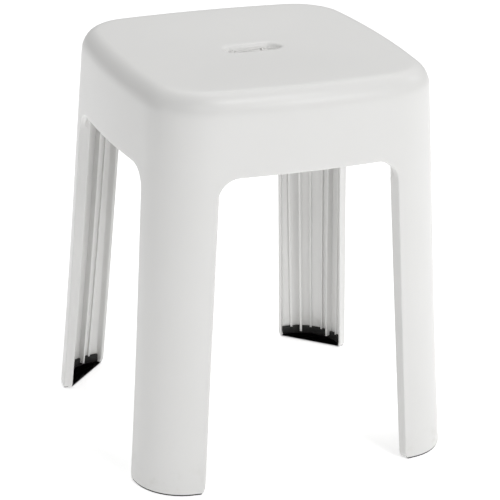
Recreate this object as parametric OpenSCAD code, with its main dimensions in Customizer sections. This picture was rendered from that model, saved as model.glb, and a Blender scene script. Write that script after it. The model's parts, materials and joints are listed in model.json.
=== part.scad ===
// Shower stool: a one-piece plastic shell on four open legs, with rubber feet.
// Origin: centre of the stool on the floor plane, +Z up, openings facing +-X and +-Y.

/* [Overall] */
// Height of the seat rim above the floor
seat_h = 430; // [380:5:480]
// Width across the bowed sides at the floor
base_w = 365.6; // [350:0.2:390]
// Width that the sloping sides would reach at the seat height
top_w = 322.4; // [310:0.2:340]
// How far each side sweeps out at the floor, beyond its straight slope
flare = 1.9; // [0:0.1:4]
// Height at which this sweep begins
flare_h = 240; // [120:10:300]
// Radius of the gentle bow of each side at the floor
bow_r_base = 1156; // [900:1:1400]
// Radius of the gentle bow of each side at the seat height
bow_r_top = 987; // [800:1:1300]
// Radius of the four upright corners at the floor
corner_r_base = 54.6; // [48:0.1:70]
// Radius of the four upright corners at the seat height
corner_r_top = 62.9; // [50:0.1:70]
// Thickness of the moulded wall
wall = 3; // [2:0.1:4]

/* [Seat] */
// How far the rounded seat edge reaches inwards
edge_in = 18; // [10:0.5:24]
// How far the rounded seat edge reaches down
edge_down = 23; // [14:0.2:32]
// Depth of the shallow dish in the seat
dish_depth = 2.6; // [0.5:0.1:4]
// Radius of the shallow dish in the seat
dish_r = 132; // [100:1:135]

/* [Grip slot] */
// Clear length of the grip and drain slot
slot_l = 62; // [50:1:90]
// Clear width of the grip and drain slot
slot_w = 22; // [18:1:32]
// Radius of the rolled edge around the slot
slot_round = 4.6; // [3:0.2:6]
// Height of the collar under the seat around the slot
collar_h = 3; // [2:0.5:8]

/* [Side openings] */
// Height of each opening between two legs
opening_h = 342.6; // [300:0.2:370]
// Width of each opening at the floor
opening_base_w = 234.2; // [210:0.2:240]
// Width of each opening at its top
opening_top_w = 198.4; // [180:0.2:205]
// Radius of the top corners of each opening
opening_r = 24; // [18:1:40]
// Depth of the rolled rim around each opening
rim_depth = 6; // [4:0.5:9]

/* [Legs] */
// Depth of the flange along each leg's edge at the floor
flange_base_d = 9.2; // [8:0.1:15]
// Depth of the flange along each leg's edge at the seat
flange_top_d = 11.7; // [8:0.1:16]
// Thickness of the flange
flange_t = 3.8; // [2.4:0.1:4.6]
// Lean of the flange towards the middle of the opening, in degrees
flange_lean = 24; // [6:1:26]
// Width of the upright ribs inside each leg
rib_w = 2.6; // [2:0.1:3.5]
// Depth of the deep ribs
deep_rib_d = 8; // [4:0.1:9]
// Depth of the shallow ribs
shallow_rib_d = 2.4; // [1.5:0.1:3]
// Angle between a leg's middle and its inner shallow ribs
inner_rib_angle = 8; // [5:0.5:10]
// Angle between a leg's middle and its deep ribs
deep_rib_angle = 22; // [17:0.5:24]
// Angle between a leg's middle and its outer shallow ribs
outer_rib_angle = 35.5; // [31:0.5:37]

/* [Underside of the seat] */
// Height of the stiffening ribs under the seat
under_rib_h = 8; // [5:0.5:12]
// Thickness of the stiffening ribs under the seat
under_rib_t = 2; // [1.6:0.1:3]
// Distance of the two cross ribs from the middle
cross_rib_x = 17; // [14:1:24]

/* [Feet] */
// Height of the rubber strip inside the leg
foot_h = 11.6; // [9:0.2:16]
// Thickness of the rubber strip
foot_t = 3; // [2:0.1:4]
// Thickness of the rubber lip under the leg
lip_t = 1.8; // [1.2:0.1:2.4]
// Distance from the leg's outer face to the lip
lip_inset = 1; // [0.6:0.1:1.6]
// Height at which the deep ribs end in the foot's notches
notch_z = 6.4; // [5:0.2:8]

/* [Hidden] */
eps = 0.01;
face_steps = 4;
flare_steps = 4;
corner_steps = 10;
edge_steps = 6;
dish_steps = 5;
inner_top_z = seat_h - wall;
flare_levels = [for (i = [1 : flare_steps]) flare_h * i / flare_steps];
plastic_color = [0.93, 0.93, 0.91];
rubber_color = [0.13, 0.13, 0.12];

// ---- Plan section of the shell at a height: four bowed sides joined by round corners ----

function at_height(base, top, z) = base + (top - base) * z / seat_h;
function half_w(z) = at_height(base_w, top_w, z) / 2 + flare * pow(max(1 - z / flare_h, 0), 2);
function bow_r(z) = at_height(bow_r_base, bow_r_top, z);
function corner_r(z) = at_height(corner_r_base, corner_r_top, z);

// Distance of the bow's centre beyond the stool's middle
function bow_back(z) = bow_r(z) - half_w(z);

// Corner centre, so that corner and bow meet without a kink
function corner_c(z) = let (b = bow_back(z), q = bow_r(z) - corner_r(z))
    (sqrt(2 * q * q - b * b) - b) / 2;

// Angle of the bow where it meets the corner
function meet_angle(z) = atan(corner_c(z) / (bow_back(z) + corner_c(z)));

// Point on the front side's bow, at an angle from its middle
function bow_point(z, inset, angle) = let (r = bow_r(z) - inset)
    [r * sin(angle), bow_back(z) - r * cos(angle)];

// Angle of the bow at a distance across the side
function bow_angle(z, inset, x) = asin(x / (bow_r(z) - inset));

// Point on the front right corner, at an angle from straight ahead
function corner_point(z, inset, angle) = let (c = corner_c(z), r = corner_r(z) - inset)
    [c + r * sin(angle), -c - r * cos(angle)];

function turned(p, k) = k == 0 ? p : turned([-p[1], p[0]], k - 1);

function quarter(z, inset) = let (m = meet_angle(z)) concat(
    [for (i = [0 : face_steps - 1]) bow_point(z, inset, -m + 2 * m * i / face_steps)],
    [for (i = [0 : corner_steps - 1]) corner_point(z, inset, m + (90 - 2 * m) * i / corner_steps)]
);

function section(z, inset) = [for (k = [0 : 3]) each [for (p = quarter(z, inset)) turned(p, k)]];

// ---- Solids of the shell ----

// Closed solid through level rings of points, each ring anticlockwise seen from above
module loft(rings) {
    n = len(rings[0]);
    last = len(rings) - 1;
    sides = [for (k = [0 : last - 1], i = [0 : n - 1]) let (low = k * n, high = low + n, j = (i + 1) % n)
        each [[low + i, high + i, high + j], [low + i, high + j, low + j]]];
    bottom = [for (i = [0 : n - 1]) i];
    top = [for (i = [n - 1 : -1 : 0]) last * n + i];
    polyhedron([for (ring = rings) each ring], concat([bottom, top], sides));
}

function ring_at(z, inset) = [for (p = section(z, inset)) [p[0], p[1], z]];

// Tapered block with a rounded top edge, set in from the outer faces by an inset
module tapered_block(bottom_z, top_z, inset) {
    rise = edge_down - (seat_h - top_z);
    loft(concat(
        [for (z = concat([bottom_z], flare_levels)) ring_at(z, inset)],
        [for (i = [0 : edge_steps]) let (angle = 90 * i / edge_steps)
            ring_at(top_z - rise + rise * sin(angle), inset + edge_in * (1 - cos(angle)))]
    ));
}

// What the dish takes away from a level surface
module dish(top_z) {
    translate([0, 0, top_z])
        rotate_extrude($fn = 48)
            polygon(concat(
                [for (i = [0 : dish_steps]) let (t = i / dish_steps)
                    [dish_r * t, -dish_depth * pow(1 - t * t, 2)]],
                [[dish_r, 1], [0, 1]]
            ));
}

module hollow() {
    difference() {
        tapered_block(-1, inner_top_z, wall);
        dish(inner_top_z);
    }
}

// Outline of one side opening, grown by a margin
module opening_outline(margin) {
    r = opening_r + margin;
    top_z = opening_h + margin;
    slope = (opening_base_w - opening_top_w) / 2 / opening_h;
    base_x = opening_base_w / 2 + margin;
    corner_x = base_x - slope * (top_z - r) - r;
    hull() {
        polygon([[-base_x - slope, -1], [base_x + slope, -1], [0, top_z - r]]);
        for (s = [-1, 1])
            translate([s * corner_x, top_z - r])
                circle(r = r, $fn = 48);
    }
}

// Opening right through the stool from front to back, and its twin from side to side
module opening_tunnels(margin) {
    for (turn = [0, 90])
        rotate([90, 0, turn])
            linear_extrude(height = 2 * base_w, center = true)
                opening_outline(margin);
}

module opening_rims() {
    intersection() {
        difference() {
            tapered_block(lip_t, seat_h - eps, 0);
            tapered_block(-1, seat_h - rim_depth, rim_depth);
        }
        opening_tunnels(wall);
    }
}

module shell() {
    difference() {
        union() {
            difference() {
                tapered_block(lip_t, seat_h, 0);
                hollow();
            }
            opening_rims();
        }
        opening_tunnels(0);
        dish(seat_h);
    }
}

// ---- Flanges and ribs of the legs ----

function opening_x(z) = (opening_base_w - (opening_base_w - opening_top_w) * z / opening_h) / 2;

// Levels of a stiffener from its lower end to the underside of the seat
function stiffener_levels(bottom_z) = concat([bottom_z], flare_levels, [inner_top_z]);

// Corners of an upright plate at a level: it starts at a point and runs along a direction
function plate_ring(start, z, angle, near, far, left, right) =
    [for (c = [[near, left], [far, left], [far, right], [near, right]])
        [start[0] + c[0] * cos(angle) - c[1] * sin(angle), start[1] + c[0] * sin(angle) + c[1] * cos(angle), z]];

function flange_ring(z) = plate_ring(
    bow_point(z, 0, bow_angle(z, 0, opening_x(z))), z, 90 + flange_lean,
    wall / 2, at_height(flange_base_d, flange_top_d, z), -flange_t, 0);

// Flange on the right-hand leg of the front opening
module flange() {
    loft([for (z = stiffener_levels(lip_t)) flange_ring(z)]);
}

module flanges() {
    for (turn = [0 : 90 : 270])
        rotate(turn)
            for (side = [0, 1])
                mirror([side, 0, 0])
                    flange();
}

function rib_ring(z, angle, depth) = let (c = corner_c(z), r = corner_r(z) - wall) plate_ring(
    [c, -c], z, angle - 90, r - depth, r + wall / 2, -rib_w / 2, rib_w / 2);

// One upright rib on the front right leg, at an angle from straight ahead
module rib(angle, depth, bottom_z) {
    loft([for (z = stiffener_levels(bottom_z)) rib_ring(z, angle, depth)]);
}

module leg_ribs() {
    for (turn = [0 : 90 : 270])
        rotate(turn)
            for (side = [-1, 1]) {
                rib(45 + side * inner_rib_angle, shallow_rib_d, foot_h);
                rib(45 + side * deep_rib_angle, deep_rib_d, notch_z);
                rib(45 + side * outer_rib_angle, shallow_rib_d, foot_h);
            }
}

// Flanges and ribs, trimmed to the middle of the wall so that none stands out of it
module inner_stiffeners() {
    intersection() {
        union() {
            flanges();
            leg_ribs();
            slot_collar();
            under_seat_ribs();
        }
        difference() {
            tapered_block(lip_t, seat_h - wall / 2, wall / 2);
            dish(seat_h - wall / 2);
        }
    }
}

// ---- Grip slot and the ribs under the seat ----

module slot_outline(margin) {
    r = slot_w / 2 + margin;
    hull()
        for (s = [-1, 1])
            translate([s * (slot_l - slot_w) / 2, 0])
                circle(r = r, $fn = 48);
}

module slot_slice(z, margin) {
    translate([0, 0, z])
        linear_extrude(height = eps)
            slot_outline(margin);
}

// Space of the slot, opening out along its rolled edge
module slot_space() {
    top_z = seat_h - dish_depth;
    steps = 4;
    translate([0, 0, top_z - 40])
        linear_extrude(height = 60)
            slot_outline(0);
    for (i = [0 : steps - 1])
        hull() {
            low = 90 * i / steps;
            high = 90 * (i + 1) / steps;
            slot_slice(top_z - slot_round * (1 - sin(low)), slot_round * (1 - cos(low)));
            slot_slice(top_z - slot_round * (1 - sin(high)), slot_round * (1 - cos(high)));
        }
    slot_slice(top_z, slot_round);
}

module slot_collar() {
    bottom_z = inner_top_z - dish_depth - collar_h;
    translate([0, 0, bottom_z])
        linear_extrude(height = collar_h + wall / 2)
            slot_outline(wall - 0.5);
}

module under_seat_ribs() {
    bottom_z = inner_top_z - dish_depth - under_rib_h;
    reach = half_w(seat_h) - edge_in;
    height = under_rib_h + dish_depth + wall / 2;
    for (s = [-1, 1])
        translate([s * cross_rib_x - under_rib_t / 2, -reach, bottom_z])
            cube([under_rib_t, 2 * reach, height]);
    translate([-reach, -under_rib_t / 2, bottom_z])
        cube([2 * reach, under_rib_t, height]);
    for (turn = [45, 135])
        rotate(turn)
            translate([-reach * 1.2, -under_rib_t / 2, bottom_z])
                cube([2.4 * reach, under_rib_t, height]);
}

module stool_body() {
    color(plastic_color)
        difference() {
            union() {
                shell();
                inner_stiffeners();
            }
            slot_space();
            for (turn = [0 : 90 : 270])
                rotate(turn)
                    foot_blank();
        }
}

// ---- Rubber feet ----

// Curve along the front right leg at one inset, between two points set back from the flanges
function leg_curve(inset, end_x) = let (
    m = meet_angle(0),
    start = bow_angle(0, inset, end_x),
    steps = 2,
    front = [for (i = [0 : steps - 1]) bow_point(0, inset, start + (m - start) * i / steps)],
    side = [for (i = [steps - 1 : -1 : 0]) [-front[i][1], -front[i][0]]]
) concat(
    front,
    [for (i = [0 : corner_steps]) corner_point(0, inset, m + (90 - 2 * m) * i / corner_steps)],
    side
);

function reversed(list) = [for (i = [len(list) - 1 : -1 : 0]) list[i]];

module leg_band(outer_inset, inner_inset, end_x) {
    polygon(concat(leg_curve(outer_inset, end_x), reversed(leg_curve(inner_inset, end_x))));
}

// Foot of the front right leg without its notches
module foot_blank() {
    flange_x = opening_base_w / 2 + flange_t;
    linear_extrude(height = lip_t)
        leg_band(lip_inset, wall + foot_t, flange_x + lip_inset);
    translate([0, 0, lip_t - eps])
        linear_extrude(height = foot_h - lip_t + eps)
            leg_band(wall, wall + foot_t, flange_x + 0.2);
}

// Slot in the foot that a deep rib stands in
module rib_notch(angle) {
    c = corner_c(0);
    translate([c, -c, notch_z])
        rotate(angle - 90)
            translate([corner_r_base - 2 * wall - deep_rib_d, -rib_w / 2, 0])
                cube([2 * wall + deep_rib_d, rib_w, foot_h]);
}

module foot(turn) {
    color(rubber_color)
        rotate(turn)
            difference() {
                foot_blank();
                for (side = [-1, 1])
                    rib_notch(45 + side * deep_rib_angle);
            }
}

module foot_front_right() {
    foot(0);
}

module foot_back_right() {
    foot(90);
}

module foot_back_left() {
    foot(180);
}

module foot_front_left() {
    foot(270);
}

stool_body();
foot_front_left();
foot_front_right();
foot_back_left();
foot_back_right();
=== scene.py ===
"""A moulded shower stool: its shell, stiffening ribs and rubber feet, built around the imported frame."""

import json
import logging
import math
from dataclasses import dataclass, field
from enum import Enum

import bmesh
import bpy
import numpy as np
from mathutils import Matrix, Vector

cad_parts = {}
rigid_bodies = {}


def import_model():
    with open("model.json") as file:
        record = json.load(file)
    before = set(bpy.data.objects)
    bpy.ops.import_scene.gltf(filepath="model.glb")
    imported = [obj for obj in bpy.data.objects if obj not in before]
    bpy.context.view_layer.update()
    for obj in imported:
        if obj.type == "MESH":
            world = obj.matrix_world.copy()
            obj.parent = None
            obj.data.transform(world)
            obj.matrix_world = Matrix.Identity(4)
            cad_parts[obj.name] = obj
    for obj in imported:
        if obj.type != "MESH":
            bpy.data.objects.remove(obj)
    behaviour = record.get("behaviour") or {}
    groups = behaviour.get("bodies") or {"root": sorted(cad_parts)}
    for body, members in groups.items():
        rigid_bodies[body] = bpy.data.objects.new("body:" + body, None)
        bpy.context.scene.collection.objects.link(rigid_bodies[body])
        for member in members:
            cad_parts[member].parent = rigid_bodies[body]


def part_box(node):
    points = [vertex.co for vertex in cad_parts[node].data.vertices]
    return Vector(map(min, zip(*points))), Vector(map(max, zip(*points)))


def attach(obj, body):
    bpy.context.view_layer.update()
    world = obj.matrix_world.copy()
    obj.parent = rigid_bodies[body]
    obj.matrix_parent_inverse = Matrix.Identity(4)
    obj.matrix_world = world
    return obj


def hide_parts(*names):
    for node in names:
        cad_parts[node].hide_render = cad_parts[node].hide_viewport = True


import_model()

logging.basicConfig(level=logging.INFO, format="%(name)s: %(message)s")
LOG = logging.getLogger("shower_stool")
MM = 0.001
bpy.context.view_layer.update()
Array = np.ndarray
Piece = bpy.types.Object
Pairs = list[tuple[float, float]]
Colour = tuple[float, float, float, float]


class Blend(Enum):
    """How two closed solids are joined."""

    UNION = "UNION"
    CUT = "DIFFERENCE"
    COMMON = "INTERSECT"


class Leg(Enum):
    """The four legs, each with its quarter turns from the front right one."""

    FRONT_RIGHT = 0
    BACK_RIGHT = 1
    BACK_LEFT = 2
    FRONT_LEFT = 3

    @property
    def turn(self) -> float:
        """Returns the leg's turn from the front right one, in degrees."""
        return 90.0 * self.value


def smooth_step(value: Array | float) -> Array | float:
    """Returns an S-shaped ramp from 0 to 1 of a value that is clipped to that span."""
    t = np.clip(value, 0.0, 1.0)
    return t * t * (3.0 - 2.0 * t)


def turned(points: Array, degrees: float) -> Array:
    """Turns points about the upright axis.

    Args:
        points: Array whose last axis is x, y, z.
        degrees: Angle to turn by, anticlockwise seen from above.

    Returns:
        The turned points.
    """
    angle = math.radians(degrees)
    cos, sin = round(math.cos(angle), 15), round(math.sin(angle), 15)
    x, y, z = points[..., 0], points[..., 1], points[..., 2]
    return np.stack([cos * x - sin * y, sin * x + cos * y, z], axis=-1)


def arc(centre: tuple[float, float], radius: float, first: float, last: float, steps: int) -> Pairs:
    """Lists points along part of a circle.

    Args:
        centre: The circle's centre.
        radius: Its radius.
        first: Direction of the first point, in degrees from the first axis towards the second.
        last: Direction of the last point, in degrees.
        steps: Number of steps from the first point to the last.

    Returns:
        The points as pairs of coordinates.
    """
    angles = [math.radians(first + (last - first) * i / steps) for i in range(steps + 1)]
    return [(centre[0] + radius * math.cos(a), centre[1] + radius * math.sin(a)) for a in angles]


def level(ring: Array, z: float) -> Array:
    """Returns a ring of x, y pairs as points at one height."""
    return np.column_stack([ring, np.full(len(ring), z)])


def direction(azimuth: float, elevation: float) -> Vector:
    """Returns the direction from the stool at angles in degrees, from the front and from the floor."""
    turn, rise = math.radians(azimuth), math.radians(elevation)
    return Vector((math.sin(turn) * math.cos(rise), -math.cos(turn) * math.cos(rise), math.sin(rise)))


@dataclass(frozen=True)
class StoolForm:
    """The outer form of the stool, in metres: four bowed sloping sides joined by round corners."""

    height: float
    lip_height: float
    base_half: float = 182.8 * MM
    top_half: float = 161.2 * MM
    bow_base: float = 1156.0 * MM
    bow_top: float = 987.0 * MM
    round_base: float = 54.6 * MM
    round_top: float = 62.9 * MM
    flare: float = 1.9 * MM
    flare_height: float = 240.0 * MM
    wall: float = 3.0 * MM
    edge_in: float = 18.0 * MM
    edge_down: float = 23.0 * MM
    dish_depth: float = 2.6 * MM

    @property
    def shoulder(self) -> float:
        """Height at which the side starts to roll over into the seat."""
        return self.height - self.edge_down

    def half_width(self, z: Array) -> Array:
        """Returns half the width across two opposite bowed sides at a height."""
        spread = np.maximum(1.0 - np.asarray(z, float) / self.flare_height, 0.0)
        return self.base_half + (self.top_half - self.base_half) * z / self.height + self.flare * spread**2

    def corner_radius(self, z: Array) -> Array:
        """Returns the radius of the round corners at a height."""
        return self.round_base + (self.round_top - self.round_base) * z / self.height

    def bow(self, z: Array) -> Array:
        """Returns the radius of the bowed sides at a height."""
        return self.bow_base + (self.bow_top - self.bow_base) * z / self.height

    def corner_centre(self, z: Array) -> Array:
        """Returns how far along x and y a round corner's centre lies, so that it meets the bow smoothly."""
        back = self.bow(z) - self.half_width(z)
        reach = self.bow(z) - self.corner_radius(z)
        return (np.sqrt(2.0 * reach * reach - back * back) - back) / 2.0

    def meet_angle(self, z: Array) -> Array:
        """Returns the angle from a side's middle at which its bow meets the corner."""
        centre = self.corner_centre(z)
        return np.arctan2(centre, self.bow(z) - self.half_width(z) + centre)

    def diagonal(self, z: Array) -> Array:
        """Returns the distance along the side from its middle to the middle of the corner."""
        angle = self.meet_angle(z)
        return self.bow(z) * angle + self.corner_radius(z) * (math.pi / 4.0 - angle)

    def place(self, side: int, along: Array, z: Array, inset: Array) -> Array:
        """Finds points in or behind the outer face of one side.

        Args:
            side: Quarter turns from the front side.
            along: Distance from the side's middle, measured along the face.
            z: Height above the floor.
            inset: Depth behind the outer face.

        Returns:
            The points, with x, y, z on the last axis.
        """
        along, z, inset = np.broadcast_arrays(*(np.asarray(a, float) for a in (along, z, inset)))
        bow, centre, angle = self.bow(z), self.corner_centre(z), self.meet_angle(z)
        reach = np.abs(along)
        bow_part = bow * angle
        theta = reach / bow
        corner = self.corner_radius(z)
        phi = angle + (reach - bow_part) / corner
        flat = reach <= bow_part
        radius = corner - inset
        x = np.where(flat, (bow - inset) * np.sin(theta), centre + radius * np.sin(phi))
        y = np.where(
            flat,
            bow - self.half_width(z) - (bow - inset) * np.cos(theta),
            -centre - radius * np.cos(phi),
        )
        return turned(np.stack([np.sign(along) * x, y, z], axis=-1), 90.0 * side)

    def shoulder_levels(self, inset: float, steps: int) -> Pairs:
        """Lists the heights and depths of the rolled edge between side and seat.

        Args:
            inset: Depth of the surface behind the outer face.
            steps: Number of steps over the quarter turn.

        Returns:
            Pairs of height and depth, from the shoulder to the seat.
        """
        rise = self.edge_down - inset
        turns = [math.pi / 2.0 * i / steps for i in range(steps + 1)]
        return [
            (self.shoulder + rise * math.sin(t), inset + self.edge_in * (1.0 - math.cos(t))) for t in turns
        ]


@dataclass(frozen=True)
class OpeningForm:
    """One of the four equal openings between two legs, in metres."""

    top: float = 342.6 * MM
    base_half: float = 117.1 * MM
    top_half: float = 99.2 * MM
    corner_radius: float = 24.0 * MM
    roll: float = 1.5 * MM
    rim_depth: float = 6.0 * MM
    flange_base: float = 9.2 * MM
    flange_rise: float = 2.0 * MM
    flange_thick: float = 3.8 * MM
    flange_tip: float = 0.9 * MM
    flange_fillet: float = 1.0 * MM
    lean: float = 0.48
    foot_bevel: float = 1.6 * MM
    foot_bevel_height: float = 6.0 * MM

    @property
    def slope(self) -> float:
        """How far the leg's edge leans in for each metre of height."""
        return (self.base_half - self.top_half) / self.top

    def edge(self, z: Array) -> Array:
        """Returns the half width of the opening at a height, its corners left out."""
        return self.base_half - self.slope * np.asarray(z, float)

    def flange_depth(self, z: Array) -> Array:
        """Returns the depth of the leg's flange at a height."""
        return self.flange_base + self.flange_rise * np.asarray(z, float) / self.top


@dataclass(frozen=True)
class SlotForm:
    """The grip and drain slot in the seat, in metres."""

    straight_half: float = 20.0 * MM
    end_radius: float = 11.0 * MM
    roll: float = 4.6 * MM
    collar: float = 3.0 * MM
    collar_wall: float = 2.5 * MM
    collar_tip: float = 0.7 * MM
    collar_fillet: float = 1.5 * MM

    def ring(self, margin: float, count: int) -> Array:
        """Finds points around the slot, in step with the stations around the seat.

        Args:
            margin: Distance outside the clear slot.
            count: Stations on each of the four sides.

        Returns:
            Array of x, y pairs, from the front left anticlockwise.
        """
        radius = self.end_radius + margin
        points = []
        for side in range(4):
            for i in range(count):
                t = i / count
                if side % 2:
                    angle, shift = -45.0 + 90.0 * t, 1.0
                elif t < 0.25:
                    angle, shift = -135.0 + 180.0 * t, -1.0
                elif t < 0.75:
                    angle, shift = -90.0, 4.0 * t - 2.0
                else:
                    angle, shift = -225.0 + 180.0 * t, 1.0
                turn = math.radians(angle)
                point = (self.straight_half * shift + radius * math.cos(turn), radius * math.sin(turn))
                points.append(point if side < 2 else (-point[0], -point[1]))
        return np.array(points)


class Draft:
    """A mesh under construction: patches are added and welded, then it becomes an object."""

    def __init__(self) -> None:
        """Starts an empty mesh."""
        self.bm = bmesh.new()

    def grid(self, points: Array, closed: bool = False) -> None:
        """Adds a patch of quads.

        Args:
            points: Array of rows, columns and x, y, z.
            closed: Whether the last column joins the first one.
        """
        rows, columns = points.shape[:2]
        verts = [[self.bm.verts.new(points[i, j]) for j in range(columns)] for i in range(rows)]
        for i in range(rows - 1):
            for j in range(columns if closed else columns - 1):
                k = (j + 1) % columns
                self.bm.faces.new((verts[i][j], verts[i][k], verts[i + 1][k], verts[i + 1][j]))

    def lid(self, ring: Array) -> None:
        """Adds one flat face over a ring of points."""
        self.bm.faces.new([self.bm.verts.new(p) for p in ring])

    def loft(self, rings: Array) -> None:
        """Adds a closed solid through rings of points, with a flat lid at both ends."""
        self.grid(rings, closed=True)
        self.lid(rings[0])
        self.lid(rings[-1])

    def weld(self, distance: float = 1e-6) -> None:
        """Joins vertices that lie in the same place."""
        bmesh.ops.remove_doubles(self.bm, verts=self.bm.verts, dist=distance)

    def open_loops(self) -> list[list[bmesh.types.BMVert]]:
        """Returns the ordered vertices of each open boundary."""
        edges = {e for e in self.bm.edges if len(e.link_faces) == 1}
        loops = []
        while edges:
            edge = edges.pop()
            loop = [edge.verts[0], edge.verts[1]]
            while True:
                following = next((e for e in loop[-1].link_edges if e in edges), None)
                if following is None:
                    break
                edges.remove(following)
                loop.append(following.other_vert(loop[-1]))
            loops.append(loop[:-1] if loop[0] is loop[-1] else loop)
        return loops

    def cap_downwards(self, radius: float, steps: int = 3) -> None:
        """Closes each open boundary with a rounded edge and a flat face under it.

        Args:
            radius: Radius of the rounded edge.
            steps: Number of steps over the rounding.
        """
        for loop in self.open_loops():
            ring = np.array([v.co for v in loop])
            ahead = np.roll(ring, -1, axis=0) - np.roll(ring, 1, axis=0)
            outward = np.stack([ahead[:, 1], -ahead[:, 0]], axis=1)
            outward /= np.linalg.norm(outward, axis=1, keepdims=True)
            area = np.sum(ring[:, 0] * np.roll(ring[:, 1], -1) - ring[:, 1] * np.roll(ring[:, 0], -1))
            outward *= 1.0 if area > 0 else -1.0
            below = loop
            for inwards, rise in arc((radius, 0.0), radius, 180.0, 270.0, steps)[1:]:
                inner = ring.copy()
                inner[:, :2] -= outward * inwards
                inner[:, 2] += rise
                verts = [self.bm.verts.new(p) for p in inner]
                for j in range(len(verts)):
                    k = (j + 1) % len(verts)
                    self.bm.faces.new((below[j], below[k], verts[k], verts[j]))
                below = verts
            self.bm.faces.new(below)

    def finish(self, name: str) -> Piece:
        """Turns the draft into an object with its faces outwards.

        Args:
            name: Name of the object and its mesh.

        Returns:
            The object, linked to the scene.
        """
        self.weld()
        bmesh.ops.recalc_face_normals(self.bm, faces=self.bm.faces)
        mesh = bpy.data.meshes.new(name)
        self.bm.to_mesh(mesh)
        self.bm.free()
        piece = bpy.data.objects.new(name, mesh)
        bpy.context.scene.collection.objects.link(piece)
        return piece


def combine(base: Piece, tool: Piece, blend: Blend) -> Piece:
    """Joins two closed solids into the first one and removes the second.

    Args:
        base: Solid that is changed.
        tool: Solid that is used up.
        blend: How they are joined.

    Returns:
        The changed solid.
    """
    modifier = base.modifiers.new("join", "BOOLEAN")
    modifier.operation = blend.value
    modifier.solver = "MANIFOLD"
    modifier.object = tool
    mesh = bpy.data.meshes.new_from_object(base.evaluated_get(bpy.context.evaluated_depsgraph_get()))
    base.modifiers.clear()
    spent, base.data = base.data, mesh
    mesh.name = base.name
    bpy.data.meshes.remove(spent)
    tool_mesh = tool.data
    bpy.data.objects.remove(tool)
    bpy.data.meshes.remove(tool_mesh)
    return base


def shade(piece: Piece, sharp_degrees: float = 32.0) -> None:
    """Shades a piece smooth, with its edges over an angle left sharp.

    Args:
        piece: Mesh object.
        sharp_degrees: Smallest angle between two faces that stays a sharp edge.
    """
    bm = bmesh.new()
    bm.from_mesh(piece.data)
    for face in bm.faces:
        face.smooth = True
    for edge in bm.edges:
        if len(edge.link_faces) == 2:
            edge.smooth = edge.calc_face_angle(0.0) < math.radians(sharp_degrees)
    bm.to_mesh(piece.data)
    bm.free()


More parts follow.
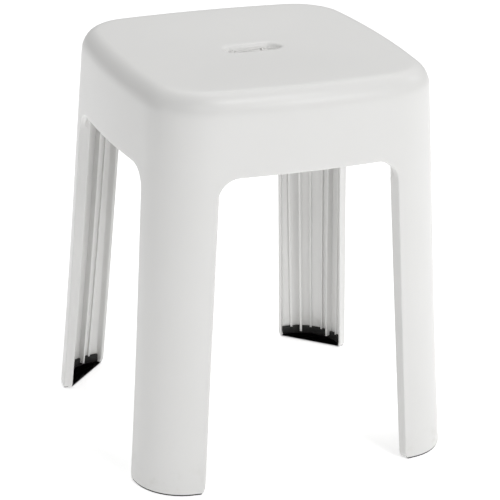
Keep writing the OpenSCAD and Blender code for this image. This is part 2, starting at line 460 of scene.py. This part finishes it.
@dataclass
class Shell:
    """The moulded wall: sides, rolled openings, seat, slot and collar, as one closed quad mesh."""

    form: StoolForm
    opening: OpeningForm
    slot: SlotForm
    leg_rows: int = 34
    corner_rows: int = 12
    top_rows: int = 10
    depth_rows: int = 18
    shoulder_rows: int = 10
    seat_rows: int = 26
    roll_steps: int = 6
    arc_steps: int = 3
    floor_steps: tuple[float, ...] = (0.0, 0.8, 1.8, 3.0, 4.4)
    edge_round: float = 0.6 * MM
    step_turn: float = 0.16

    @property
    def ring_count(self) -> int:
        """Stations on one side of the seat."""
        return 2 * (self.corner_rows // 2 + self.top_rows)

    def opening_path(self) -> tuple[Array, Array]:
        """Follows the right half of an opening's edge, from the floor to its middle.

        Returns:
            The points as distance along the side and height, and their directions away from the opening.
        """
        o = self.opening
        base = self.form.lip_height + self.edge_round
        lean = math.atan(o.slope)
        centre_z = o.top - o.corner_radius
        centre_x = o.edge(centre_z) - o.corner_radius / math.cos(lean)
        tangent_z = centre_z + o.corner_radius * math.sin(lean)
        near_floor = [base + step * MM for step in self.floor_steps]
        heights = near_floor + list(np.linspace(base + o.foot_bevel_height, tangent_z, self.leg_rows + 1))
        points, aways = [], []
        for z in heights:
            fade = max(0.0, 1.0 - (z - base) / o.foot_bevel_height)
            points.append((o.edge(z) + o.foot_bevel * fade * fade, z))
            aways.append((1.0, 0.0))
        for i in range(1, self.corner_rows + 1):
            share = i / self.corner_rows
            angle = lean + (math.pi / 2.0 - lean) * share
            turn = math.pi / 2.0 * share
            points.append(
                (centre_x + o.corner_radius * math.cos(angle), centre_z + o.corner_radius * math.sin(angle))
            )
            aways.append((math.cos(turn), math.sin(turn)))
        for i in range(1, self.top_rows + 1):
            points.append((centre_x * (1.0 - i / self.top_rows), o.top))
            aways.append((0.0, 1.0))
        return np.array(points), np.array(aways)

    def outer_path(self, path: Array) -> Array:
        """Pairs each station of an opening's edge with one on the corner's middle or the shoulder.

        Args:
            path: The opening's edge, as distance along the side and height.

        Returns:
            The paired points, as distance along the side and height.
        """
        shoulder = self.form.shoulder
        half = self.corner_rows // 2
        leg_count = len(path) - self.corner_rows - self.top_rows
        start_z = path[leg_count - 1, 1]
        corner = self.form.diagonal(shoulder)
        end_x = path[leg_count - 1 + self.corner_rows, 0]
        rise = [start_z + (shoulder - start_z) * i / half for i in range(1, half + 1)]
        points = [(self.form.diagonal(z), z) for z in [*path[:leg_count, 1], *rise]]
        points += [(corner + (end_x - corner) * i / half, shoulder) for i in range(1, half + 1)]
        points += [(x, shoulder) for x in path[leg_count + self.corner_rows :, 0]]
        return np.array(points)

    def flange_depths(self, path: Array, aways: Array) -> Array:
        """Returns the rim's depth at each station: deep along the leg, shallow over the opening."""
        turn = np.arctan2(aways[:, 1], aways[:, 0]) / (math.pi / 2.0)
        deep = self.opening.flange_depth(path[:, 1])
        return deep + (self.opening.rim_depth - deep) * smooth_step(turn / self.step_turn)

    def rim_profile(self, depth: float) -> Pairs:
        """Lists the rim's section from the outer face round to the inner face.

        Args:
            depth: Depth of the rim behind the outer face.

        Returns:
            Pairs of distance from the opening's edge and depth.
        """
        o, wall, steps = self.opening, self.form.wall, self.arc_steps
        thick, tip, fillet = o.flange_thick, o.flange_tip, o.flange_fillet
        points = arc((o.roll, o.roll), o.roll, -90.0, -180.0, self.roll_steps)
        points += [(0.0, o.roll + (depth - tip - o.roll) * t) for t in (0.34, 0.67)]
        points += arc((tip, depth - tip), tip, 180.0, 90.0, steps)
        points += arc((thick - tip, depth - tip), tip, 90.0, 0.0, steps)
        points += [(thick, wall + fillet + (depth - tip - wall - fillet) * t) for t in (0.67, 0.34)]
        points += arc((thick + fillet, wall + fillet), fillet, 180.0, 270.0, steps)
        return points

    def side_patches(self, draft: Draft, side: int) -> None:
        """Adds the outer face, rim and inner face of one side.

        Args:
            draft: Mesh that they are added to.
            side: Quarter turns from the front side.
        """
        form, opening = self.form, self.opening
        path, aways = self.opening_path()
        outer = self.outer_path(path)
        depths = self.flange_depths(path, aways)
        profiles = np.array([self.rim_profile(float(d)) for d in depths])
        shift = profiles[..., 0] - opening.lean * np.maximum(profiles[..., 1] - form.wall, 0.0)
        along = path[:, None, 0] + aways[:, None, 0] * shift
        height = path[:, None, 1] + aways[:, None, 1] * shift
        share = np.linspace(0.0, 1.0, self.depth_rows + 1)[None, :]
        for mirror in (1.0, -1.0):
            draft.grid(form.place(side, mirror * along, height, profiles[..., 1]))
            for column, inset in ((0, 0.0), (-1, form.wall)):
                start_x, start_z = along[:, column, None], height[:, column, None]
                x = start_x + (outer[:, 0, None] - start_x) * share
                z = start_z + (outer[:, 1, None] - start_z) * share
                draft.grid(form.place(side, mirror * x, z, inset))

    def shoulder_ring(self, z: float, inset: float) -> Array:
        """Finds the stations around the rolled seat edge at one level.

        Args:
            z: Height above the floor.
            inset: Depth behind the outer face.

        Returns:
            Ring of points, from the front left anticlockwise.
        """
        path, _ = self.opening_path()
        half = self.outer_path(path)[-(self.ring_count // 2 + 1) :, 0]
        scale = self.form.diagonal(z) / self.form.diagonal(self.form.shoulder)
        along = np.concatenate([-half[:-1], half[::-1][:-1]]) * scale
        return np.concatenate([self.form.place(side, along, z, inset) for side in range(4)])

    def seat_rings(self, inset: float, margin: float) -> list[Array]:
        """Lists the rings from the shoulder over the rolled edge and seat to the slot.

        Args:
            inset: Depth of the surface behind the outer one.
            margin: Distance from the clear slot at which the seat ends.

        Returns:
            The rings, from outside to inside.
        """
        form = self.form
        levels = form.shoulder_levels(inset, self.shoulder_rows)
        rings = [self.shoulder_ring(z, depth) for z, depth in levels]
        rim = rings[-1]
        slot = self.slot.ring(margin, self.ring_count)
        for i in range(1, self.seat_rows + 1):
            share = i / self.seat_rows
            ring = rim.copy()
            ring[:, :2] += (slot - rim[:, :2]) * share
            ring[:, 2] = form.height - inset - form.dish_depth * smooth_step(share)
            rings.append(ring)
        return rings

    def slot_levels(self) -> Pairs:
        """Lists the section of the slot's rolled edge and collar, from the seat to its underside.

        Returns:
            Pairs of distance from the clear slot and height.
        """
        slot, form = self.slot, self.form
        top = form.height - form.dish_depth
        under = top - form.wall
        low = under - slot.collar
        tip, fillet, outer, steps = slot.collar_tip, slot.collar_fillet, slot.collar_wall, self.arc_steps
        levels = arc((slot.roll, top - slot.roll), slot.roll, 90.0, 180.0, self.roll_steps)
        levels += [(0.0, low + tip + (top - slot.roll - low - tip) * t) for t in (0.66, 0.33)]
        levels += arc((tip, low + tip), tip, 180.0, 270.0, steps)
        levels += arc((outer - tip, low + tip), tip, 270.0, 360.0, steps)
        levels += [(outer, low + tip + (under - fillet - low - tip) * t) for t in (0.33, 0.66)]
        levels += arc((outer + fillet, under - fillet), fillet, 180.0, 90.0, steps)
        return levels

    def seat_patches(self, draft: Draft) -> None:
        """Adds the seat, its underside, and the slot's edge and collar."""
        levels = self.slot_levels()
        draft.grid(np.array(self.seat_rings(0.0, levels[0][0])), closed=True)
        draft.grid(np.array(self.seat_rings(self.form.wall, levels[-1][0])), closed=True)
        rings = [level(self.slot.ring(margin, self.ring_count), z) for margin, z in levels]
        draft.grid(np.array(rings), closed=True)

    def build(self, name: str) -> Piece:
        """Builds the whole shell.

        Args:
            name: Name of the object.

        Returns:
            The shell as one closed mesh.
        """
        draft = Draft()
        for side in range(4):
            self.side_patches(draft, side)
        self.seat_patches(draft)
        draft.weld()
        draft.cap_downwards(self.edge_round)
        return draft.finish(name)


@dataclass
class Stiffeners:
    """The upright ribs in the legs, the flanges behind the apron, and the ribs under the seat."""

    form: StoolForm
    opening: OpeningForm
    slot: SlotForm
    rib_width: float = 2.6 * MM
    deep: float = 8.0 * MM
    shallow: float = 2.4 * MM
    inner_angle: float = 8.0
    deep_angle: float = 22.0
    outer_angle: float = 35.5
    deep_end: float = 6.4 * MM
    shallow_end: float = 10.6 * MM
    flare: float = 0.4 * MM
    tip_round: float = 0.5 * MM
    root_depth: float = 0.1 * MM
    flange_overlap: float = 2.2
    flange_gap: float = 0.15 * MM
    bar_height: float = 8.0 * MM
    bar_width: float = 2.0 * MM
    bar_tip: float = 0.8
    bar_taper: float = 0.95
    bar_stations: int = 48
    cross_at: float = 17.0 * MM
    slot_stations: int = 16
    cutter_half: float = 50.0 * MM
    core_stations: int = 32
    core_steps: int = 10
    core_below: float = 10.0 * MM
    levels: int = 14
    section_steps: int = 5
    flange_steps: int = 3

    def layout(self) -> list[tuple[float, float, float]]:
        """Lists the ribs of a leg: direction in degrees, depth, and height of the lower end."""
        kinds = (
            (self.inner_angle, self.shallow, self.shallow_end),
            (self.deep_angle, self.deep, self.deep_end),
            (self.outer_angle, self.shallow, self.shallow_end),
        )
        return [(45.0 + side * angle, depth, end) for side in (-1.0, 1.0) for angle, depth, end in kinds]

    def heights(self, bottom: float) -> Array:
        """Returns the levels of an upright rib, from its lower end to the seat."""
        return np.linspace(bottom, self.form.height - self.form.wall / 2.0, self.levels)

    def rib_section(self, depth: float) -> Array:
        """Lists a rib's section: flared where it leaves the wall, round at its tip.

        Args:
            depth: How far the rib stands out of the wall.

        Returns:
            Array of depth from the wall's inner face and sideways distance.
        """
        half, flare, tip = self.rib_width / 2.0, self.flare, self.tip_round
        upper = [(-self.form.wall / 2.0, half + flare), (-self.root_depth, half + flare)]
        upper += arc((flare, half + flare), flare, 180.0, 270.0, self.section_steps)[1:]
        upper += arc((depth - tip, half - tip), tip, 90.0, 0.0, self.section_steps)
        return np.array(upper + [(d, -s) for d, s in reversed(upper)])

    def upright(self, draft: Draft, leg: Leg, angle: float, section: Array, heights: Array) -> None:
        """Adds one upright solid that stands on the wall inside a leg.

        Args:
            draft: Mesh that it is added to.
            leg: Leg that it stands in.
            angle: Direction from the corner's centre, in degrees from straight ahead.
            section: Array of depth from the wall's inner face and sideways distance.
            heights: Heights of its rings, from the lower end up.
        """
        turn = math.radians(angle)
        radial = np.array([math.sin(turn), -math.cos(turn)])
        sideways = np.array([math.cos(turn), math.sin(turn)])
        rings = []
        for z in heights:
            centre = self.form.corner_centre(z)
            reach = self.form.corner_radius(z) - self.form.wall - section[:, 0]
            flat = np.array([centre, -centre]) + reach[:, None] * radial + section[:, 1, None] * sideways
            rings.append(level(flat, z))
        draft.loft(turned(np.array(rings), leg.turn))

    def ribs(self) -> Piece:
        """Builds the six ribs of every leg."""
        draft = Draft()
        for leg in Leg:
            for angle, depth, bottom in self.layout():
                self.upright(draft, leg, angle, self.rib_section(depth), self.heights(bottom))
        return draft.finish("leg_ribs")

    def flange_tops(self) -> Piece:
        """Builds the straight upper ends of the leg flanges, which run on behind the apron."""
        draft = Draft()
        form, opening = self.form, self.opening
        wall, tip, steps = form.wall, opening.flange_tip, self.flange_steps
        near, far = self.flange_gap, opening.flange_thick - self.flange_gap
        start = opening.top - self.flange_overlap * opening.corner_radius
        for side in range(4):
            for mirror in (1.0, -1.0):
                rings = []
                for z in self.heights(start):
                    depth = opening.flange_depth(z) - self.flange_gap
                    section = [(near, wall / 2.0), (near, depth / 2.0)]
                    section += arc((near + tip, depth - tip), tip, 180.0, 90.0, steps)
                    section += arc((far - tip, depth - tip), tip, 90.0, 0.0, steps)
                    section += [(far, depth / 2.0), (far, wall / 2.0)]
                    points = np.array(section)
                    lean = opening.lean * np.maximum(points[:, 1] - wall, 0.0)
                    along = opening.edge(z) + points[:, 0] - lean
                    rings.append(form.place(side, mirror * along, z, points[:, 1]))
                draft.loft(np.array(rings))
        return draft.finish("flange_tops")

    def bar(self, rim: float, angle: float, offset: float) -> Piece:
        """Builds one straight rib under the seat.

        Args:
            rim: Distance from the middle at which the seat starts to dish, along the rib.
            angle: Its direction in degrees from the x axis.
            offset: Its sideways distance from the middle.

        Returns:
            The rib as a closed solid, its top inside the seat's wall.
        """
        form = self.form
        half = self.bar_width / 2.0
        tip = half * self.bar_tip
        low = form.height - form.wall - form.dish_depth - self.bar_height
        slot_end = self.slot.straight_half + self.slot.end_radius
        rings = []
        for x in np.linspace(-rim - form.edge_in, rim + form.edge_in, self.bar_stations):
            dish = form.dish_depth * float(smooth_step((rim - abs(x)) / (rim - slot_end)))
            side = [(half, form.height - form.wall / 2.0 - dish), (half * self.bar_taper, low + tip)]
            side += arc((0.0, low + tip), tip, 0.0, -90.0, self.section_steps)[1:]
            rings.append([(x, s, z) for s, z in side + [(-s, z) for s, z in reversed(side[:-1])]])
        draft = Draft()
        draft.loft(turned(np.array(rings) + (0.0, offset, 0.0), angle))
        return draft.finish("seat_rib")

    def seat_ribs(self) -> Piece:
        """Builds the ribs under the seat, open at the slot."""
        form = self.form
        straight = form.top_half - form.edge_in
        centre = form.corner_centre(form.height)
        across = centre * math.sqrt(2.0) + form.corner_radius(form.height) - form.edge_in
        bars = self.bar(straight, 0.0, 0.0)
        for angle, offset in ((90.0, self.cross_at), (90.0, -self.cross_at)):
            combine(bars, self.bar(straight, angle, offset), Blend.UNION)
        for angle in (45.0, 135.0):
            combine(bars, self.bar(across, angle, 0.0), Blend.UNION)
        ring = self.slot.ring(self.slot.collar_wall / 2.0, self.slot_stations)
        draft = Draft()
        heights = (form.height - self.cutter_half, form.height + self.cutter_half)
        draft.loft(np.array([level(ring, z) for z in heights]))
        return combine(bars, draft.finish("slot_space"), Blend.CUT)

    def core(self) -> Piece:
        """Builds the solid whose face runs along the middle of the wall, to trim the ribs by."""
        form = self.form
        inset = form.wall / 2.0
        share = np.linspace(-1.0, 1.0, self.core_stations + 1)[:-1]
        levels = [(-self.core_below, inset)] + form.shoulder_levels(inset, self.core_steps)
        rings = []
        for z, depth in levels:
            along = share * form.diagonal(z)
            rings.append(np.concatenate([form.place(side, along, z, depth) for side in range(4)]))
        draft = Draft()
        draft.loft(np.array(rings))
        return draft.finish("wall_core")

    def build(self) -> Piece:
        """Builds all the stiffeners, trimmed to the middle of the wall.

        Returns:
            The stiffeners as closed solids in one mesh.
        """
        solids = self.ribs()
        combine(solids, self.flange_tops(), Blend.UNION)
        combine(solids, self.seat_ribs(), Blend.UNION)
        return combine(solids, self.core(), Blend.COMMON)


@dataclass
class Foot:
    """One rubber strip: it lines the lower end of a leg and ends in a thin lip under it."""

    form: StoolForm
    opening: OpeningForm
    stiffeners: Stiffeners
    height: float = 11.6 * MM
    thickness: float = 3.0 * MM
    lip_inset: float = 1.0 * MM
    round_radius: float = 0.5 * MM
    round_steps: int = 3
    touch: float = 0.02 * MM
    stations: int = 64
    crowding: float = 0.25
    end_gap: float = 0.6 * MM
    end_cap: float = 0.3 * MM
    end_shrink: float = 0.94
    notch_gap: float = 0.15 * MM
    notch_front: float = 1.0 * MM
    notch_past: float = 2.0 * MM
    notch_above: float = 5.0 * MM
    sharp_degrees: float = 40.0

    def section(self) -> Array:
        """Lists the strip's section as pairs of depth behind the outer face and height."""
        r, lip, touch, steps = self.round_radius, self.form.lip_height, self.touch, self.round_steps
        front, back = self.lip_inset + r, self.form.wall + self.thickness
        inner = self.form.wall + touch
        points = arc((front, r), r, 270.0, 180.0, steps)
        points += arc((front, lip - touch - r), r, 180.0, 90.0, steps)
        points += [(self.form.wall - r, lip - touch), (inner, lip), (inner, (lip + self.height) / 2.0)]
        points += arc((inner + r, self.height - r), r, 180.0, 90.0, steps)
        points += arc((back - r, self.height - r), r, 90.0, 0.0, steps)
        points += [(back, (lip + self.height) / 2.0)]
        points += arc((back - r, r), r, 0.0, -90.0, steps)
        return np.array(points)

    def strip(self, leg: Leg) -> Piece:
        """Builds the strip without its notches.

        Args:
            leg: Leg that it belongs to.

        Returns:
            The strip as a closed solid.
        """
        form = self.form
        section = self.section()
        middle = section.mean(axis=0)
        start = self.opening.edge(0.0) + form.wall + self.end_gap
        end = 2.0 * form.diagonal(0.0) - start
        even = np.linspace(0.0, 1.0, self.stations + 1)
        crowded = 0.5 - 0.5 * np.cos(math.pi * even)
        mixed = self.crowding * crowded + (1.0 - self.crowding) * even
        shrunk = middle + (section - middle) * self.end_shrink
        rings = [self.station(start - self.end_cap, shrunk)]
        rings += [self.station(along, section) for along in start + (end - start) * mixed]
        rings.append(self.station(end + self.end_cap, shrunk))
        draft = Draft()
        draft.loft(turned(np.array(rings), leg.turn))
        return draft.finish("foot_strip")

    def station(self, along: float, section: Array) -> Array:
        """Places the section at a distance along the front right leg, past the corner's middle too."""
        form = self.form
        diagonal = form.diagonal(section[:, 1])
        if along <= form.diagonal(0.0):
            return form.place(0, along, section[:, 1], section[:, 0])
        rest = 2.0 * form.diagonal(0.0) - along
        return form.place(1, -np.minimum(rest, diagonal), section[:, 1], section[:, 0])

    def notches(self, leg: Leg) -> Piece:
        """Builds the spaces in the strip that the ribs stand in."""
        source = self.stiffeners
        wide = source.rib_width / 2.0 + self.notch_gap
        front, back = self.notch_front - self.form.wall, self.thickness + self.notch_past
        section = np.array([(front, -wide), (front, wide), (back, wide), (back, -wide)])
        draft = Draft()
        for angle, _, bottom in source.layout():
            heights = np.array([bottom - self.notch_gap, self.height + self.notch_above])
            source.upright(draft, leg, angle, section, heights)
        return draft.finish("foot_notches")

    def build(self, leg: Leg) -> Piece:
        """Builds the foot of one leg.

        Args:
            leg: Leg that it belongs to.

        Returns:
            The foot as one closed mesh.
        """
        foot = combine(self.strip(leg), self.notches(leg), Blend.CUT)
        foot.name = f"rubber_foot_{leg.name.lower()}"
        foot.data.name = foot.name
        shade(foot, self.sharp_degrees)
        return foot


Operand = "Signal | float"


class Signal:
    """A shader socket that takes part in arithmetic."""

    def __init__(self, bench: "Bench", socket: bpy.types.NodeSocket) -> None:
        """Wraps a socket of a node on a bench."""
        self.bench = bench
        self.socket = socket

    def _maths(self, operation: str, first: Operand, second: Operand) -> "Signal":
        """Adds a Math node on two values and returns its result."""
        return self.bench.node("ShaderNodeMath", {"operation": operation}, {0: first, 1: second})

    def __add__(self, other: Operand) -> "Signal":
        """Returns this plus the other."""
        return self._maths("ADD", self, other)

    __radd__ = __add__

    def __mul__(self, other: Operand) -> "Signal":
        """Returns this times the other."""
        return self._maths("MULTIPLY", self, other)

    __rmul__ = __mul__

    def __sub__(self, other: Operand) -> "Signal":
        """Returns this minus the other."""
        return self._maths("SUBTRACT", self, other)

    def __rsub__(self, other: Operand) -> "Signal":
        """Returns the other minus this."""
        return self._maths("SUBTRACT", other, self)


class Bench:
    """The node tree of one material, on which its finish is put together."""

    def __init__(self, name: str) -> None:
        """Starts a material with an empty node tree."""
        self.material = bpy.data.materials.new(name)
        self.material.use_nodes = True
        self.tree = self.material.node_tree
        self.tree.nodes.clear()

    def node(
        self,
        kind: str,
        settings: dict[str, object] | None = None,
        inputs: dict[str | int, object] | None = None,
        output: str | int = 0,
    ) -> Signal:
        """Makes any node.

        Args:
            kind: Type of the node.
            settings: Values of the node itself; stops is a ramp's list of places and colours.
            inputs: Values or signals of its sockets.
            output: Socket that the result is read from.

        Returns:
            The signal of the chosen output.
        """
        made = self.tree.nodes.new(kind)
        for key, value in (settings or {}).items():
            if key == "stops":
                elements = made.color_ramp.elements
                while len(elements) < len(value):
                    elements.new(1.0)
                for element, (place, colour) in zip(elements, value):
                    element.position = place
                    element.color = colour
            else:
                setattr(made, key, value)
        for key, value in (inputs or {}).items():
            if isinstance(value, Signal):
                self.tree.links.new(value.socket, made.inputs[key])
            else:
                made.inputs[key].default_value = value
        return Signal(self, made.outputs[output] if made.outputs else None)

    def noise(self, scale: float, detail: float = 2.0, roughness: float = 0.5) -> Signal:
        """Returns smooth noise over the object, with features about 1 / scale metres across."""
        where = self.node("ShaderNodeTexCoord", output="Object")
        return self.node(
            "ShaderNodeTexNoise",
            {"noise_dimensions": "3D"},
            {"Vector": where, "Scale": scale, "Detail": detail, "Roughness": roughness},
        )

    def height(self) -> Signal:
        """Returns the height above the floor, in metres."""
        where = self.node("ShaderNodeTexCoord", output="Object")
        return self.node("ShaderNodeSeparateXYZ", inputs={0: where}, output="Z")

    def ramp(self, value: Signal, low: float, high: float) -> Signal:
        """Returns 0 to 1 as a value goes from low to high, smoothly."""
        return self.node(
            "ShaderNodeMapRange",
            {"interpolation_type": "SMOOTHSTEP"},
            {"Value": value, "From Min": low, "From Max": high},
        )

    def mix(self, factor: Signal, first: tuple | Signal, second: tuple | Signal) -> Signal:
        """Returns a colour between two colours."""
        return self.node(
            "ShaderNodeMix",
            {"data_type": "RGBA"},
            {"Factor": factor, 6: first, 7: second},
            output=2,
        )

    def bump(self, height: Signal, distance: float, strength: float) -> Signal:
        """Returns the normal of a surface raised by a height times a distance in metres."""
        return self.node(
            "ShaderNodeBump", {}, {"Height": height, "Distance": distance, "Strength": strength}
        )

    def finish(self, inputs: dict[str, object]) -> bpy.types.Material:
        """Ends the tree in a Principled shader with these inputs and returns the material."""
        shader = self.node("ShaderNodeBsdfPrincipled", {}, inputs, output="BSDF")
        self.node("ShaderNodeOutputMaterial", {}, {"Surface": shader})
        return self.material


@dataclass(frozen=True)
class SatinPlastic:
    """Warm white moulded plastic with a fine satin skin."""

    light: Colour = (0.788, 0.786, 0.776, 1.0)
    dark: Colour = (0.768, 0.765, 0.752, 1.0)
    scuff: Colour = (0.66, 0.65, 0.61, 1.0)
    roughness: float = 0.33
    ior: float = 1.49
    grain: float = 0.012 * MM
    wave: float = 0.06 * MM
    relief: float = 0.6
    cloud_scale: float = 9.0
    grain_scale: float = 2400.0
    wave_scale: float = 16.0
    smear_scale: float = 60.0
    scuff_start: float = 4.0 * MM
    scuff_end: float = 45.0 * MM
    scuff_share: float = 0.45
    cloud_gloss: float = 0.06
    smear_gloss: float = 0.10
    scuff_gloss: float = 0.15

    def material(self) -> bpy.types.Material:
        """Builds the finish."""
        bench = Bench("satin_plastic")
        cloud = bench.noise(self.cloud_scale, 3.0)
        grain = bench.noise(self.grain_scale, 2.0, 0.6)
        wave = bench.noise(self.wave_scale, 1.0)
        smear = bench.noise(self.smear_scale, 4.0, 0.65)
        low = 1.0 - bench.ramp(bench.height(), self.scuff_start, self.scuff_end)
        mark = bench.ramp(smear, 0.50, 0.72) * low * self.scuff_share
        colour = bench.mix(mark, bench.mix(cloud, self.light, self.dark), self.scuff)
        uneven = (cloud - 0.5) * self.cloud_gloss + (smear - 0.5) * self.smear_gloss
        rough = self.roughness + uneven + mark * self.scuff_gloss
        normal = bench.bump(grain * self.grain + wave * self.wave, 1.0, self.relief)
        return bench.finish({"Base Color": colour, "Roughness": rough, "Normal": normal, "IOR": self.ior})


@dataclass(frozen=True)
class MatteRubber:
    """Black rubber with a dry, finely grained skin."""

    light: Colour = (0.020, 0.020, 0.019, 1.0)
    dark: Colour = (0.009, 0.009, 0.009, 1.0)
    roughness: float = 0.72
    grain: float = 0.06 * MM
    relief: float = 0.8
    cloud_scale: float = 45.0
    grain_scale: float = 1500.0
    grain_gloss: float = 0.25

    def material(self) -> bpy.types.Material:
        """Builds the finish."""
        bench = Bench("matte_rubber")
        cloud = bench.noise(self.cloud_scale, 3.0)
        grain = bench.noise(self.grain_scale, 3.0, 0.7)
        colour = bench.mix(bench.ramp(grain * 0.5 + cloud * 0.5, 0.35, 0.65), self.dark, self.light)
        rough = self.roughness + (grain - 0.5) * self.grain_gloss
        normal = bench.bump(grain, self.grain, self.relief)
        return bench.finish({"Base Color": colour, "Roughness": rough, "Normal": normal})


@dataclass(frozen=True)
class PaleFloor:
    """A plain white studio sweep that glows a little, as a lit white table does."""

    colour: Colour = (0.86, 0.86, 0.86, 1.0)
    glow_colour: Colour = (1.0, 1.0, 1.0, 1.0)
    glow: float = 0.53
    roughness: float = 0.9

    def material(self) -> bpy.types.Material:
        """Builds the finish."""
        return Bench("pale_floor").finish(
            {
                "Base Color": self.colour,
                "Roughness": self.roughness,
                "Emission Color": self.glow_colour,
                "Emission Strength": self.glow,
            }
        )


@dataclass(frozen=True)
class SoftBox:
    """One soft studio light, aimed at the stool."""

    name: str
    azimuth: float
    elevation: float
    width: float
    power: float
    distance: float = 3.0
    target: tuple[float, float, float] = (0.0, 0.0, 0.2)
    mirrored: bool = True

    def light(self) -> None:
        """Makes the light."""
        data = bpy.data.lights.new(self.name, "AREA")
        data.shape = "SQUARE"
        data.size = self.width
        data.energy = self.power
        lamp = bpy.data.objects.new(self.name, data)
        away = direction(self.azimuth, self.elevation)
        lamp.location = Vector(self.target) + away * self.distance
        lamp.rotation_euler = away.to_track_quat("Z", "Y").to_euler()
        lamp.visible_glossy = self.mirrored
        bpy.context.scene.collection.objects.link(lamp)


@dataclass
class Studio:
    """Camera, floor and light."""

    height: float
    azimuth: float = -22.537
    elevation: float = 21.830
    roll: float = 1.225
    distance: float = 5.554
    lens: float = 155.26
    sensor: float = 36.0
    aim_height: float = 0.4512
    aim_right: float = 0.0047
    floor_half: float = 12.0
    floor_stations: int = 9
    sky: float = 0.17
    boxes: list[SoftBox] = field(
        default_factory=lambda: [
            SoftBox("key_box", 20.0, 50.0, 0.9, 16.2),
            SoftBox("low_key_box", 24.0, 25.0, 0.7, 12.6),
            SoftBox("front_box", -22.0, 35.0, 0.9, 5.4),
            SoftBox("left_box", -90.0, 35.0, 2.0, 3.4),
            SoftBox("left_low_box", -86.0, 10.0, 0.4, 2.6),
            SoftBox("right_box", 88.0, 32.0, 0.3, 3.8),
            SoftBox("right_high_box", 90.0, 62.0, 2.0, 21.5, mirrored=False),
            SoftBox("back_box", 180.0, 62.0, 2.0, 38.0, mirrored=False),
        ]
    )

    def camera(self) -> None:
        """Makes the camera at the stool's own viewing angle."""
        turn, roll = math.radians(self.azimuth), math.radians(self.roll)
        back = direction(self.azimuth, self.elevation)
        right = Vector((math.cos(turn), math.sin(turn), 0.0))
        up = back.cross(right)
        aim = Vector((0.0, 0.0, self.aim_height)) + right * self.aim_right
        rolled_right = right * math.cos(roll) + up * math.sin(roll)
        rolled_up = up * math.cos(roll) - right * math.sin(roll)
        data = bpy.data.cameras.new("camera")
        data.lens, data.sensor_width = self.lens, self.sensor
        camera = bpy.data.objects.new("camera", data)
        pose = Matrix((rolled_right, rolled_up, back)).transposed().to_4x4()
        pose.translation = (aim + back * self.distance) * self.height
        camera.matrix_world = pose
        bpy.context.scene.collection.objects.link(camera)
        bpy.context.scene.camera = camera

    def floor(self) -> None:
        """Makes the floor that the stool stands on."""
        steps = np.linspace(-self.floor_half, self.floor_half, self.floor_stations)
        draft = Draft()
        draft.grid(np.array([[(x, y, 0.0) for y in steps] for x in steps]))
        floor = draft.finish("floor")
        if floor.data.polygons[0].normal.z < 0.0:
            floor.data.flip_normals()
        floor.data.materials.append(PaleFloor().material())

    def world(self) -> None:
        """Sets an even white surround and a plain view of it."""
        world = bpy.data.worlds.new("surround")
        world.use_nodes = True
        background = world.node_tree.nodes["Background"]
        background.inputs["Color"].default_value = (1.0, 1.0, 1.0, 1.0)
        background.inputs["Strength"].default_value = self.sky
        bpy.context.scene.world = world
        bpy.context.scene.view_settings.view_transform = "Standard"

    def build(self) -> None:
        """Sets up floor, surround and lights."""
        self.floor()
        self.world()
        for box in self.boxes:
            box.light()


@dataclass
class Stool:
    """The whole stool: its moulded body and four rubber feet."""

    form: StoolForm
    opening: OpeningForm = field(default_factory=OpeningForm)
    slot: SlotForm = field(default_factory=SlotForm)

    def body(self) -> None:
        """Builds the one-piece body in its plastic."""
        shell = Shell(self.form, self.opening, self.slot).build("moulded_body")
        body = combine(shell, Stiffeners(self.form, self.opening, self.slot).build(), Blend.UNION)
        shade(body)
        body.data.materials.clear()
        body.data.materials.append(SatinPlastic().material())
        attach(body, "root")
        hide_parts("stool_body")
        LOG.info("body: %d vertices, %d faces", len(body.data.vertices), len(body.data.polygons))

    def feet(self) -> None:
        """Builds the four feet in their rubber."""
        rubber = MatteRubber().material()
        maker = Foot(self.form, self.opening, Stiffeners(self.form, self.opening, self.slot))
        for leg in Leg:
            foot = maker.build(leg)
            foot.data.materials.clear()
            foot.data.materials.append(rubber)
            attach(foot, "root")
            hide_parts(f"foot_{leg.name.lower()}")
            LOG.info("%s: %d faces", foot.name, len(foot.data.polygons))


def write_sizes() -> None:
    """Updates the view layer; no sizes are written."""
    bpy.context.view_layer.update()


def main() -> None:
    """Builds the studio and the stool, and reports each piece."""
    low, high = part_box("stool_body")
    form = StoolForm(height=high.z, lip_height=low.z)
    studio = Studio(height=form.height)
    studio.camera()
    studio.build()
    stool = Stool(form)
    stool.body()
    stool.feet()
    write_sizes()


if __name__ == "__main__":
    main()
